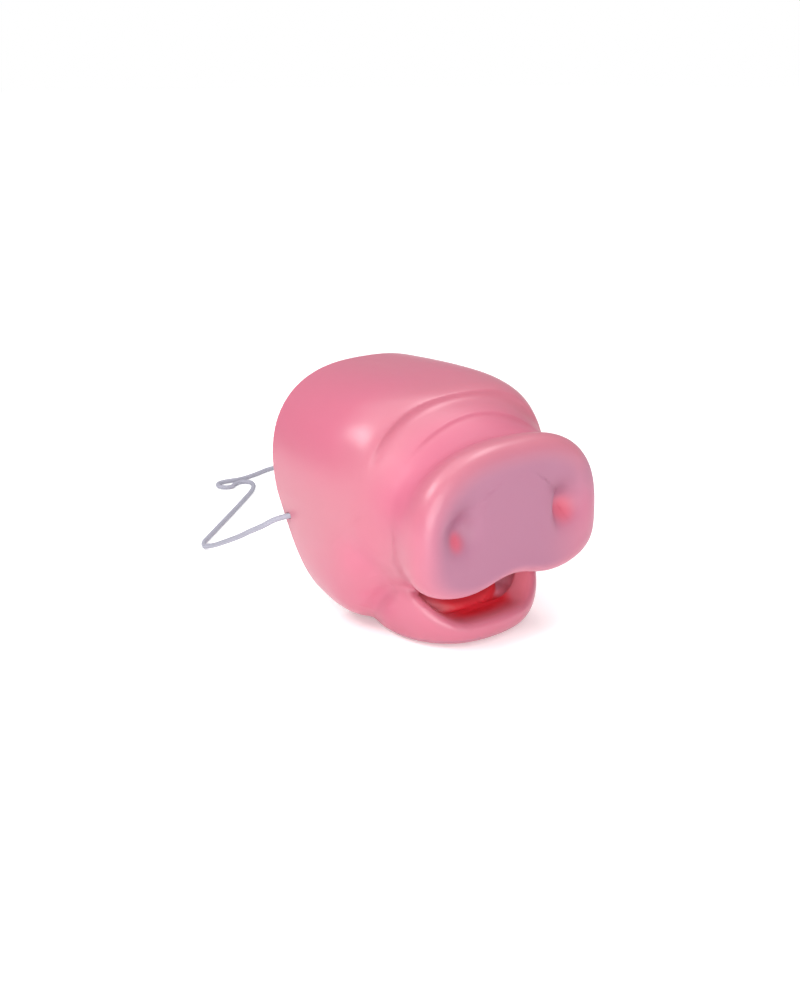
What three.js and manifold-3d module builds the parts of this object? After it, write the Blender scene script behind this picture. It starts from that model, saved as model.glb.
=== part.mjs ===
// Costume pig nose: a hollow vinyl muzzle that rests on its chin, with its elastic cord laid out behind it.
// Millimetres and degrees. The nose disc faces -Y, +X is the pig's left and the floor is Z = 0.
import * as THREE from "three";
import { mergeVertices } from "three/addons/utils/BufferGeometryUtils.js";
import Module from "manifold-3d";

const WALL = 2;
const GAP = 0.3;

// Muzzle sections from the rear rim to the nose disc, each a rounded outline across the snout.
// back: distance behind the disc's face, middle: height of the widest point,
// tilt: lean of the top to the rear, half: half width, up and down: reach above and below the middle,
// square_up and square_down: squareness, taper: share of the width lost at the bottom,
// notch: how far the middle of the lower edge is drawn up, steps: rings up to the next section.
const SECTIONS = [
  { name: "rim", back: 72, middle: 46, tilt: 17, half: 45.8, up: 40.4, down: 46.5,
    square_up: 2.5, square_down: 4, taper: 0.13, notch: 0, steps: 2 },
  { name: "hind cheek", back: 61.5, middle: 46, tilt: 14, half: 46.3, up: 40.2, down: 47,
    square_up: 2.6, square_down: 4, taper: 0.11, notch: 0, steps: 2 },
  { name: "cheek", back: 51, middle: 46, tilt: 10, half: 46, up: 39.7, down: 46.5,
    square_up: 2.7, square_down: 3.8, taper: 0.08, notch: 0, steps: 2 },
  { name: "fore cheek", back: 42, middle: 46.5, tilt: 7, half: 44.8, up: 38.4, down: 44.5,
    square_up: 2.8, square_down: 3.4, taper: 0.04, notch: 0, steps: 3 },
  { name: "brow", back: 34.5, middle: 47.5, tilt: 5, half: 42.5, up: 36, down: 39.5,
    square_up: 2.8, square_down: 3, taper: 0, notch: 0, steps: 4 },
  { name: "bridge", back: 28, middle: 48, tilt: 4, half: 39.5, up: 32.8, down: 33.5,
    square_up: 2.6, square_down: 3, taper: 0, notch: 0, steps: 5 },
  { name: "trunk", back: 20, middle: 46.5, tilt: 2, half: 37, up: 30, down: 26.5,
    square_up: 2.3, square_down: 3.6, taper: 0, notch: 1.5, steps: 4 },
  { name: "neck", back: 12, middle: 43, tilt: 0, half: 36.5, up: 27.5, down: 22,
    square_up: 2.3, square_down: 3.2, taper: 0, notch: 3, steps: 3 },
  { name: "disc back", back: 8, middle: 40, tilt: 0, half: 37.7, up: 30.5, down: 19,
    square_up: 2.5, square_down: 2.9, taper: 0, notch: 4, steps: 2 },
  { name: "disc rim", back: 4.5, middle: 38.5, tilt: 0, half: 39.5, up: 33.3, down: 17.5,
    square_up: 2.75, square_down: 3.3, taper: 0, notch: 5, steps: 2 },
  { name: "disc edge", back: 1.4, middle: 38.5, tilt: 0, half: 38.7, up: 31.8, down: 16.8,
    square_up: 2.75, square_down: 3.3, taper: 0, notch: 5, steps: 2 },
  { name: "face edge", back: 0, middle: 38.5, tilt: 0, half: 35.7, up: 28.3, down: 14.5,
    square_up: 2.75, square_down: 3.3, taper: 0, notch: 5, steps: 0 },
];
const NOTCH_SPREAD = 13;
const RIM = SECTIONS[0];
const DEPTH = RIM.back + RIM.up * Math.sin(THREE.MathUtils.degToRad(RIM.tilt));

// Wrinkles over the bridge. back: place, depth: inward, spread: half width of the valley,
// reach: how many degrees down each side from the top it runs before it has faded.
const FOLDS = [
  { name: "upper wrinkle", back: 29, depth: 1.6, spread: 2.2, reach: 75 },
  { name: "lower wrinkle", back: 21.5, depth: 1.1, spread: 1.8, reach: 60 },
];

// The disc's face: slightly dished, with a dent for each nostril.
const FACE = { rings: 9, dish: 0.8 };
const NOSTRIL = { across: 23, height: 43, depth: 4.2, half: 4.2, tall: 5.5 };

// Lower jaw, a rounded bowl whose lip rises from the front to the corners of the mouth.
// half and front: reach to the side and forwards, lift: share of the lip's height.
const JAW = { back: 33.5, rear: 25, square: 2.2, lip_front: 9, lip_corner: 21 };
const JAW_RINGS = [
  { name: "sole", half: 23, front: 22, lift: 0 },
  { name: "foot", half: 26.5, front: 24.5, lift: 0.1 },
  { name: "bulge", half: 29.5, front: 26.3, lift: 0.42 },
  { name: "lip outside", half: 31, front: 26.6, lift: 0.72 },
  { name: "lip crown", half: 29.5, front: 24.3, lift: 0.96 },
  { name: "lip inside", half: 26.5, front: 20.5, lift: 1 },
];

// Mouth hollow above the jaw, with the tongue on its floor.
const MOUTH = { back: 33.5, rear: 8, square: 2.2 };
const MOUTH_RINGS = [
  { name: "floor", half: 19, front: 14, height: 3.5 },
  { name: "lower wall", half: 22.5, front: 17, height: 5.5 },
  { name: "lip wall", half: 24.5, front: 18.5, height: 12 },
  { name: "roof", half: 25, front: 18.5, height: 25 },
];
const TONGUE = { back: 33, height: 5, half: 12, long: 11, tall: 5 };

// Points around each outline.
const AROUND = { outside: 56, inside: 40, jaw: 40, mouth: 32, hole: 16, cord: 8 };

// Elastic cord: it leaves the right cheek through a hole near the rim, drops to the floor,
// lies in a zigzag behind the muzzle and comes back up to the hole in the left cheek.
const CORD = { diameter: 2, steps: 80, straight: 5 };
const HOLE = { side: 44.9, along: 24.5, height: 38, aim: new THREE.Vector3(-0.72, 0.62, -0.3).normalize() };
const KNOT = { radius: 2.6 };
// The cord's end reaches in past the slanted hole to the knot, which lies against the inside of the wall.
const TUCKED = (WALL + GAP + KNOT.radius) / -HOLE.aim.x - GAP - KNOT.radius;
const FLOOR_LINE = 1.05;
const RIGHT_DROP = [
  [-50.4, 33, 33], [-48.4, 45, 27], [-45.4, 57, 21], [-42.3, 69, 15.3],
  [-39.6, 80, 10.2], [-37.4, 90, 5.6], [-36.3, 96.5, 2.9], [-36.2, 101.4, 1.3],
];
const FLOOR_RUN = [
  [-34.2, 105.6], [-29, 110.4], [5.8, 141], [17.4, 152], [21, 157.5], [21.6, 161.4], [18.6, 164.2],
  [14.6, 163.1], [11.8, 161], [8.6, 161.9], [7.2, 165], [8.8, 168.2], [12.4, 169.2], [20.2, 168],
  [29, 169.6], [40, 173], [52, 172.6], [60, 161], [58, 142], [46, 114],
];
const LEFT_RISE = [
  [40.4, 103, 1.3], [38.6, 95, 3.6], [39.6, 81, 9.8], [42.3, 69, 15.3], [45.4, 57, 21], [50.4, 33, 33],
];

const wasm = await Module();
wasm.setup();

/** Reads every number column of a section table at a fractional row, on a smooth curve through the rows. */
function rowAt(rows, place) {
  const index = Math.min(Math.floor(place), rows.length - 2);
  const part = place - index;
  const near = [-1, 0, 1, 2].map((step) => rows[THREE.MathUtils.clamp(index + step, 0, rows.length - 1)]);
  const row = {};
  for (const column of Object.keys(rows[0])) {
    const [before, start, end, after] = near.map((entry) => entry[column]);
    if (typeof start !== "number") continue;
    const leave = (end - before) / 2;
    const arrive = (after - start) / 2;
    const bend = 2 * (start - end) + leave + arrive;
    const sag = 3 * (end - start) - 2 * leave - arrive;
    row[column] = start + part * (leave + part * (sag + part * bend));
  }
  return row;
}

/** Cosine and sine of an angle, pushed outwards to a squarer outline. */
function rounded(angle, square) {
  const push = (value) => Math.sign(value) * Math.abs(value) ** (2 / square);
  return [push(Math.cos(angle)), push(Math.sin(angle))];
}

/** Y of a place behind the disc's face. */
function behind(back) {
  return back - DEPTH / 2;
}

/** How far the wrinkles pull the surface in at a place and an angle from the top. */
function wrinkle(back, fromTop) {
  let pull = 0;
  for (const fold of FOLDS) {
    const along = Math.exp(-(((back - fold.back) / fold.spread) ** 2));
    const fade = 1 - THREE.MathUtils.smoothstep(fromTop, fold.reach / 2, fold.reach);
    pull += fold.depth * along * fade;
  }
  return pull;
}

/** One point of the muzzle's outside. */
function muzzlePoint(row, angle) {
  const upper = Math.sin(angle) >= 0;
  const [across, rise] = rounded(angle, upper ? row.square_up : row.square_down);
  const fromTop = Math.abs(90 - THREE.MathUtils.radToDeg(angle));
  const pull = upper ? wrinkle(row.back, fromTop) : 0;
  const taper = upper ? 0 : row.taper * -rise;
  const x = across * (row.half * (1 - taper) - pull);
  const notch = row.notch * Math.exp(-((x / NOTCH_SPREAD) ** 2));
  const lift = rise * (upper ? row.up - pull : row.down - notch);
  const lean = THREE.MathUtils.degToRad(row.tilt);
  return new THREE.Vector3(x, behind(row.back) + lift * Math.sin(lean), row.middle + lift * Math.cos(lean));
}

/** How far the nostrils push the face in at a point. */
function nostrilDent(x, z) {
  const across = (Math.abs(x) - NOSTRIL.across) / NOSTRIL.half;
  const tall = (z - NOSTRIL.height) / NOSTRIL.tall;
  return NOSTRIL.depth * Math.exp(-(across ** 2 + tall ** 2));
}

/** Rings of points over the muzzle, from the rim to the middle of the face. */
function muzzleRings(around) {
  const rings = [];
  const ring = (row) =>
    Array.from({ length: around }, (unused, step) => muzzlePoint(row, (step / around) * 2 * Math.PI));
  SECTIONS.forEach((section, index) => {
    for (let step = 0; step < section.steps; step += 1) {
      rings.push(ring(rowAt(SECTIONS, index + step / section.steps)));
    }
  });
  const face = SECTIONS.at(-1);
  const edge = ring(face);
  const centre = new THREE.Vector3(0, behind(face.back), face.middle);
  for (let step = 0; step < FACE.rings; step += 1) {
    const share = 1 - step / FACE.rings;
    const inset = edge.map((point) => centre.clone().lerp(point, share));
    for (const point of inset) point.y += FACE.dish * (1 - share ** 2) + nostrilDent(point.x, point.z);
    rings.push(inset);
  }
  return rings;
}

/** Closed mesh through rings of equal count, with a fan over each end. */
function loft(rings) {
  const around = rings[0].length;
  const points = rings.flat();
  const triangles = [];
  for (let row = 0; row + 1 < rings.length; row += 1) {
    for (let step = 0; step < around; step += 1) {
      const here = row * around + step;
      const beside = row * around + ((step + 1) % around);
      triangles.push(here, beside, beside + around, here, beside + around, here + around);
    }
  }
  for (const row of [0, rings.length - 1]) {
    const sum = rings[row].reduce((total, point) => total.add(point), new THREE.Vector3());
    const hub = points.push(sum.divideScalar(around)) - 1;
    for (let step = 0; step < around; step += 1) {
      const here = row * around + step;
      const beside = row * around + ((step + 1) % around);
      triangles.push(...(row === 0 ? [hub, beside, here] : [hub, here, beside]));
    }
  }
  const geometry = new THREE.BufferGeometry().setFromPoints(points);
  geometry.setIndex(triangles);
  return geometry;
}

/** Turns a closed geometry into a solid. */
function solid(geometry) {
  const bare = geometry.clone();
  bare.deleteAttribute("normal");
  bare.deleteAttribute("uv");
  const merged = mergeVertices(bare);
  const vertProperties = merged.attributes.position.array;
  const triVerts = merged.index.array;
  return new wasm.Manifold(new wasm.Mesh({ numProp: 3, vertProperties, triVerts }));
}

/** Turns a solid back into a geometry. */
function geometryOf(body) {
  const mesh = body.getMesh();
  const geometry = new THREE.BufferGeometry();
  geometry.setAttribute("position", new THREE.BufferAttribute(mesh.vertProperties, mesh.numProp));
  geometry.setIndex(new THREE.BufferAttribute(mesh.triVerts, 1));
  geometry.computeVertexNormals();
  return geometry;
}

/** Rings moved inwards by the wall, with one more ring behind so that the hollow is open at the rim. */
function hollowRings(rings) {
  const around = rings[0].length;
  const past = (ring) => ring.map((point) => point.clone().setY(point.y + RIM.up));
  const skin = loft([past(rings[0]), ...rings]);
  skin.computeVertexNormals();
  const inner = rings.map((ring, row) =>
    ring.map((point, step) => {
      const out = new THREE.Vector3().fromBufferAttribute(skin.attributes.normal, (row + 1) * around + step);
      return point.clone().addScaledVector(out, -WALL);
    }),
  );
  return [past(inner[0]), ...inner];
}

/** Rings of a rounded plan outline, one for each row, grown by a margin. */
function planRings(plan, rows, around, grow, heightOf) {
  return rows.map((row) =>
    Array.from({ length: around }, (unused, step) => {
      const angle = (step / around) * 2 * Math.PI;
      const [ahead, across] = rounded(angle, plan.square);
      const reach = (ahead > 0 ? row.front : plan.rear) + grow;
      const x = across * (row.half + grow);
      return new THREE.Vector3(x, behind(plan.back) - ahead * reach, heightOf(row, angle));
    }),
  );
}

/** Height of the jaw's surface on a row, rising from the front towards the corners of the mouth. */
function jawHeight(row, angle) {
  const rise = JAW.lip_corner - JAW.lip_front;
  return row.lift * (JAW.lip_front + rise * (1 - Math.cos(angle)));
}

/** The mouth's hollow, grown by a margin all round. */
function mouthSolid(grow) {
  const [floor, roof] = [MOUTH_RINGS[0], MOUTH_RINGS.at(-1)];
  const heightOf = (row) => row.height - (row === floor ? grow : 0) + (row === roof ? grow : 0);
  return solid(loft(planRings(MOUTH, MOUTH_RINGS, AROUND.mouth, grow, heightOf)));
}

/** Where a cord hole comes out of the cheek, and the way the cord leaves it. side is -1 right, 1 left. */
function cordExit(side) {
  const mirror = new THREE.Vector3(-side, 1, 1);
  const point = new THREE.Vector3(-HOLE.side, HOLE.along, HOLE.height).multiply(mirror);
  return { point, aim: HOLE.aim.clone().multiply(mirror) };
}

/** The round cut for a cord hole. */
function holeSolid(side) {
  const { point, aim } = cordExit(side);
  const radius = (CORD.diameter / 2 + GAP) / Math.cos(Math.PI / AROUND.hole);
  const drill = new THREE.CylinderGeometry(radius, radius, 4 * WALL, AROUND.hole);
  drill.applyQuaternion(new THREE.Quaternion().setFromUnitVectors(new THREE.Vector3(0, 1, 0), aim));
  return solid(drill.translate(point.x, point.y, point.z));
}

/** The whole vinyl moulding. */
function shellSolid() {
  const outside = solid(loft(muzzleRings(AROUND.outside)));
  const hollow = solid(loft(hollowRings(muzzleRings(AROUND.inside))));
  const jaw = solid(loft(planRings(JAW, JAW_RINGS, AROUND.jaw, 0, jawHeight)));
  const tongue = new THREE.SphereGeometry(1, 24, 12);
  tongue.scale(TONGUE.half, TONGUE.long, TONGUE.tall);
  tongue.translate(0, behind(TONGUE.back), TONGUE.height);
  const skin = outside.add(jaw).subtract(mouthSolid(0)).add(solid(tongue));
  const moulding = skin.subtract(hollow.subtract(mouthSolid(WALL)));
  return moulding.subtract(holeSolid(-1)).subtract(holeSolid(1));
}

/** The elastic cord, from the inside of the right cheek to the inside of the left one. */
function cordGeometry() {
  const ends = (side) => {
    const { point, aim } = cordExit(side);
    return [-TUCKED, 0, CORD.straight].map((way) => point.clone().addScaledVector(aim, way));
  };
  const hanging = (rows) => rows.map((row) => new THREE.Vector3(...row));
  const lying = FLOOR_RUN.map(([x, y]) => new THREE.Vector3(x, y, FLOOR_LINE));
  const right = [...ends(-1), ...hanging(RIGHT_DROP)];
  const left = [...hanging(LEFT_RISE), ...ends(1).reverse()];
  const extrudePath = new THREE.CatmullRomCurve3([...right, ...lying, ...left], false, "centripetal");
  const corners = Array.from({ length: AROUND.cord }, (unused, step) => {
    const angle = (step / AROUND.cord) * 2 * Math.PI;
    return new THREE.Vector2(Math.cos(angle), Math.sin(angle)).multiplyScalar(CORD.diameter / 2);
  });
  const section = new THREE.Shape(corners);
  return new THREE.ExtrudeGeometry(section, { steps: CORD.steps, extrudePath, bevelEnabled: false });
}

/** The knot that stops the cord's end inside a cheek. */
function knotMesh(side, material) {
  const { point, aim } = cordExit(side);
  const knot = new THREE.Mesh(new THREE.SphereGeometry(KNOT.radius, 16, 12), material);
  knot.position.copy(point).addScaledVector(aim, -(TUCKED + GAP + KNOT.radius));
  knot.name = side < 0 ? "cord_knot_right" : "cord_knot_left";
  return knot;
}

const vinyl = new THREE.MeshStandardMaterial({ color: 0xe98a9f, roughness: 0.42, metalness: 0 });
const elastic = new THREE.MeshStandardMaterial({ color: 0xe4e2ea, roughness: 0.85, metalness: 0 });

const shell = new THREE.Mesh(geometryOf(shellSolid()), vinyl);
shell.name = "snout_shell";
const cord = new THREE.Mesh(cordGeometry(), elastic);
cord.name = "elastic_cord";

const pigNose = new THREE.Group();
pigNose.add(shell, cord, knotMesh(-1, elastic), knotMesh(1, elastic));

export default pigNose;
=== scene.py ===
"""A costume pig nose: a hollow, spray-painted vinyl muzzle on a thin round elastic cord.

The muzzle is lofted from the outlines of the real moulding, joined to its lower jaw, opened at the
mouth, remeshed and then shaped with sculpting strokes. Every length is in metres.
"""

import logging
import math
from dataclasses import astuple, dataclass, field
from enum import Enum

import bpy
import numpy as np
from mathutils import Matrix, Vector


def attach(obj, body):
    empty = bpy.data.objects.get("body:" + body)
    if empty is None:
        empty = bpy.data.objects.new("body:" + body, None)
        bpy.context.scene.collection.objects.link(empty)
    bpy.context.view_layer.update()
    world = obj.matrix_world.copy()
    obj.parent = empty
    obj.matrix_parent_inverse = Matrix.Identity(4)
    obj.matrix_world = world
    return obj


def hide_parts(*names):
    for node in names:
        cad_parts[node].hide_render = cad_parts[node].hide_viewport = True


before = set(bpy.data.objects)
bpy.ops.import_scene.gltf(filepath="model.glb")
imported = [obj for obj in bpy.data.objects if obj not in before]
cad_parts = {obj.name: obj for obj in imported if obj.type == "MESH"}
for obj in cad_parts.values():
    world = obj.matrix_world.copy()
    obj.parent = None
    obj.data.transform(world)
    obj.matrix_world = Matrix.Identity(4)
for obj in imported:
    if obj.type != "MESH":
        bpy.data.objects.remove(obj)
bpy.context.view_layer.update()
BODY = "root"
GRID_TURN = math.radians(40.0)
SMOOTHING = 0.5
LINE_STEPS = 8
A_HAIR = 1e-9
MIRROR = np.array([-1.0, 1.0, 1.0])
LOG = logging.getLogger("pig_nose")


class Join(Enum):
    """How one solid meets another."""

    ADD = "UNION"
    CUT = "DIFFERENCE"


class Solver(Enum):
    """How a cut is worked out: quickly, before a remesh, or with every point of the skin kept."""

    QUICK = "MANIFOLD"
    EXACT = "EXACT"


class Side(Enum):
    """A side of the pig, with the sign of its X."""

    RIGHT = -1
    LEFT = 1

    @property
    def label(self) -> str:
        """The side's name, as the CAD nodes spell it."""
        return self.name.lower()


# Small modelling steps that every piece uses


def pick(obj: bpy.types.Object) -> None:
    """Leaves one object selected and active.

    Args:
        obj: The object to work on.
    """
    bpy.ops.object.select_all(action="DESELECT")
    obj.select_set(True)
    bpy.context.view_layer.objects.active = obj


def points_of(obj: bpy.types.Object) -> np.ndarray:
    """Reads a mesh's points.

    Args:
        obj: A mesh object.

    Returns:
        One row of x, y and z for each vertex.
    """
    flat = np.zeros(len(obj.data.vertices) * 3)
    obj.data.vertices.foreach_get("co", flat)
    return flat.reshape(-1, 3)


def normals_of(obj: bpy.types.Object) -> np.ndarray:
    """Reads a mesh's outward directions.

    Args:
        obj: A mesh object.

    Returns:
        One unit vector for each vertex.
    """
    flat = np.zeros(len(obj.data.vertices) * 3)
    obj.data.vertex_normals.foreach_get("vector", flat)
    return flat.reshape(-1, 3)


def move_points(obj: bpy.types.Object, points: np.ndarray) -> None:
    """Puts a mesh's points at new places.

    Args:
        obj: A mesh object.
        points: One row of x, y and z for each vertex.
    """
    obj.data.vertices.foreach_set("co", points.astype(np.float32).ravel())
    obj.data.update()


def modify(obj: bpy.types.Object, kind: str, **settings: object) -> None:
    """Adds a modifier and applies it.

    Args:
        obj: The object to change.
        kind: Blender's name of the modifier.
        settings: The modifier's values.
    """
    pick(obj)
    modifier = obj.modifiers.new(kind.lower(), kind)
    for name, value in settings.items():
        setattr(modifier, name, value)
    bpy.ops.object.modifier_apply(modifier=modifier.name)


def combine(
    body: bpy.types.Object, tool: bpy.types.Object, how: Join, solver: Solver = Solver.QUICK
) -> None:
    """Joins a tool to a body, or cuts it away, and removes the tool.

    Args:
        body: The solid that stays.
        tool: The solid that is added or taken away.
        how: Whether the tool is added or cut.
        solver: How the cut is worked out.
    """
    modify(body, "BOOLEAN", operation=how.value, solver=solver.value, object=tool)
    bpy.data.objects.remove(tool)


def remesh(obj: bpy.types.Object, voxel: float, rounds: int = 0) -> None:
    """Gives a solid an even skin and eases its edges.

    The solid is turned askew meanwhile, so that no flat side lies along the grid and shows its steps.

    Args:
        obj: A closed mesh object.
        voxel: The size of the new faces.
        rounds: How many times the skin is smoothed.
    """
    askew = np.array(Matrix.Rotation(GRID_TURN, 3, Vector((1.0, 1.0, 1.0))))
    move_points(obj, points_of(obj) @ askew.T)
    modify(obj, "REMESH", mode="VOXEL", voxel_size=voxel, use_smooth_shade=True)
    if rounds:
        modify(obj, "SMOOTH", factor=SMOOTHING, iterations=rounds)
    move_points(obj, points_of(obj) @ askew)


def drop_flaps(obj: bpy.types.Object) -> None:
    """Deletes stray faces that hang on a closed skin by one edge, which a cut can leave.

    Args:
        obj: A closed mesh object.
    """
    pick(obj)
    bpy.ops.object.mode_set(mode="EDIT")
    bpy.ops.mesh.select_mode(type="EDGE")
    bpy.ops.mesh.select_all(action="DESELECT")
    bpy.ops.mesh.select_non_manifold(use_multi_face=False, use_non_contiguous=False, use_verts=False)
    bpy.ops.mesh.delete(type="EDGE")
    bpy.ops.object.mode_set(mode="OBJECT")


def loft(name: str, rings: np.ndarray) -> bpy.types.Object:
    """Extrudes a filled circle once for each ring, and fits every ring to its outline.

    Args:
        name: The new object's name.
        rings: The outlines, as rings by points by three, with points at equal turns.

    Returns:
        A closed mesh object.
    """
    count, around = rings.shape[:2]
    centre = rings[0].mean(axis=0)
    radius = float(np.linalg.norm(rings[0] - centre, axis=1).mean())
    bpy.ops.object.select_all(action="DESELECT")
    bpy.ops.mesh.primitive_circle_add(vertices=around, radius=radius, fill_type="NGON", location=centre)
    blank = bpy.context.object
    blank.name = name
    bpy.ops.object.transform_apply(location=True, rotation=True, scale=True)
    bpy.ops.object.mode_set(mode="EDIT")
    bpy.ops.mesh.select_all(action="SELECT")
    for _ in range(count - 1):
        bpy.ops.mesh.extrude_region_move(TRANSFORM_OT_translate={"value": (0.0, 0.0, radius)})
    bpy.ops.object.mode_set(mode="OBJECT")
    place = (points_of(blank) - centre) / radius
    level = np.rint(place[:, 2]).astype(int)
    turn = np.rint(np.arctan2(place[:, 1], place[:, 0]) / (2 * np.pi / around)).astype(int) % around
    move_points(blank, rings[level, turn])
    bpy.ops.object.mode_set(mode="EDIT")
    bpy.ops.mesh.select_all(action="SELECT")
    bpy.ops.mesh.normals_make_consistent(inside=False)
    bpy.ops.object.mode_set(mode="OBJECT")
    return blank


# Curves and falloffs


def smoothstep(value: np.ndarray, start: float, end: float) -> np.ndarray:
    """A soft ramp.

    Args:
        value: Where to read the ramp.
        start: Where it leaves 0.
        end: Where it reaches 1.

    Returns:
        Numbers from 0 to 1.
    """
    share = np.clip((value - start) / (end - start), 0.0, 1.0)
    return share * share * (3.0 - 2.0 * share)


def bell(value: np.ndarray, below: float, above: float) -> np.ndarray:
    """A bell curve with a width of its own on each side of 0.

    Args:
        value: Where to read the curve.
        below: Its width where the value is negative.
        above: Its width where the value is positive.

    Returns:
        Numbers from 0 to 1.
    """
    return np.exp(-((value / np.where(value < 0.0, below, above)) ** 2))


def rounded(turn: np.ndarray, square: np.ndarray) -> tuple[np.ndarray, np.ndarray]:
    """A unit outline between a circle and a square.

    Args:
        turn: Angles round the outline.
        square: 2 for a circle, and more for a squarer outline.

    Returns:
        The outline's two coordinates at each angle.
    """
    across, rise = np.cos(turn), np.sin(turn)
    power = 2.0 / square
    return np.sign(across) * np.abs(across) ** power, np.sign(rise) * np.abs(rise) ** power


def through(rows: np.ndarray, steps: int | list[int]) -> np.ndarray:
    """Draws a smooth line through rows of numbers.

    Args:
        rows: The rows that it passes through.
        steps: The number of steps after each row but the last, or one number for all of them.

    Returns:
        All the rows on the line.
    """
    padded = np.concatenate([rows[:1], rows, rows[-1:]])
    drawn = []
    for number, count in enumerate(np.broadcast_to(steps, len(rows) - 1)):
        a, b, c, d = padded[number:number + 4]
        bend = 2 * a - 5 * b + 4 * c - d
        twist = 3 * (b - c) + d - a
        for t in np.arange(count) / count:
            drawn.append(b + 0.5 * t * (c - a + t * (bend + t * twist)))
    drawn.append(rows[-1])
    return np.array(drawn)


# The muzzle's outlines


@dataclass(frozen=True)
class Section:
    """One outline across the muzzle, from the nose disc backwards."""

    back: float
    middle: float
    tilt: float
    half: float
    up: float
    down: float
    square_up: float
    square_down: float
    taper: float
    notch: float
    steps: int


@dataclass(frozen=True)
class Wrinkle:
    """A fold across the bridge: a sharp edge, a steep riser before it and a tread that levels out."""

    back: float
    depth: float
    riser: float
    full: float
    reach: float
    lean: float = 4.0
    pivot: float = 0.048

    def lift(self, points: np.ndarray, face: float) -> np.ndarray:
        """How far the fold raises points of the skin, which is never above 0.

        Args:
            points: The skin's points.
            face: The Y of the disc's face.

        Returns:
            The outward move of each point.
        """
        rise = points[:, 2] - self.pivot
        ahead = self.back - (points[:, 1] - face - rise * math.tan(math.radians(self.lean)))
        share = np.maximum(ahead, 0.0) / self.riser
        from_top = np.degrees(np.arctan2(np.abs(points[:, 0]), rise))
        fade = 1.0 - smoothstep(from_top, self.full, self.reach)
        return -self.depth * fade * share * np.exp(1.0 - share)


@dataclass(frozen=True)
class Nostril:
    """A scooped dent in the disc, steep towards the middle, with a crease that runs up from it."""

    across: float = 0.0200
    height: float = 0.0460
    depth: float = 0.0046
    inner: float = 0.0027
    outer: float = 0.0082
    above: float = 0.0050
    below: float = 0.0062
    crease: tuple = ((0.0205, 0.0480), (0.0185, 0.0515), (0.0143, 0.0548))
    crease_depth: float = 0.0016
    crease_steep: float = 0.0016
    crease_gentle: float = 0.0062

    def press(self, across: np.ndarray, height: np.ndarray) -> np.ndarray:
        """How deep the dent is at places on the disc.

        Args:
            across: Distances from the muzzle's middle.
            height: Heights above the floor.

        Returns:
            Depths behind the disc's face.
        """
        scoop = bell(across - self.across, self.inner, self.outer)
        scoop = scoop * bell(height - self.height, self.below, self.above)
        return self.depth * scoop + self._crease(across, height) * (1.0 - scoop)

    def _crease(self, across: np.ndarray, height: np.ndarray) -> np.ndarray:
        """The depth of the crease that runs up from the dent.

        Args:
            across: Distances from the muzzle's middle.
            height: Heights above the floor.

        Returns:
            Depths behind the disc's face.
        """
        line = through(np.array(self.crease), LINE_STEPS)
        place = np.stack([across, height], axis=-1)
        deepest = np.zeros(len(place))
        for number, (start, end) in enumerate(zip(line[:-1], line[1:])):
            along = end - start
            share = np.clip((place - start) @ along / (along @ along), 0.0, 1.0)
            away = place - start - share[:, None] * along
            side = away @ np.array([-along[1], along[0]]) / np.linalg.norm(along)
            reach = np.where(side < 0.0, self.crease_gentle, self.crease_steep)
            fade = 1.0 - (number + share) / (len(line) - 1)
            depth = self.crease_depth * np.sqrt(fade) * np.exp(-(away ** 2).sum(axis=1) / reach ** 2)
            deepest = np.maximum(deepest, depth)
        return deepest


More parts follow.
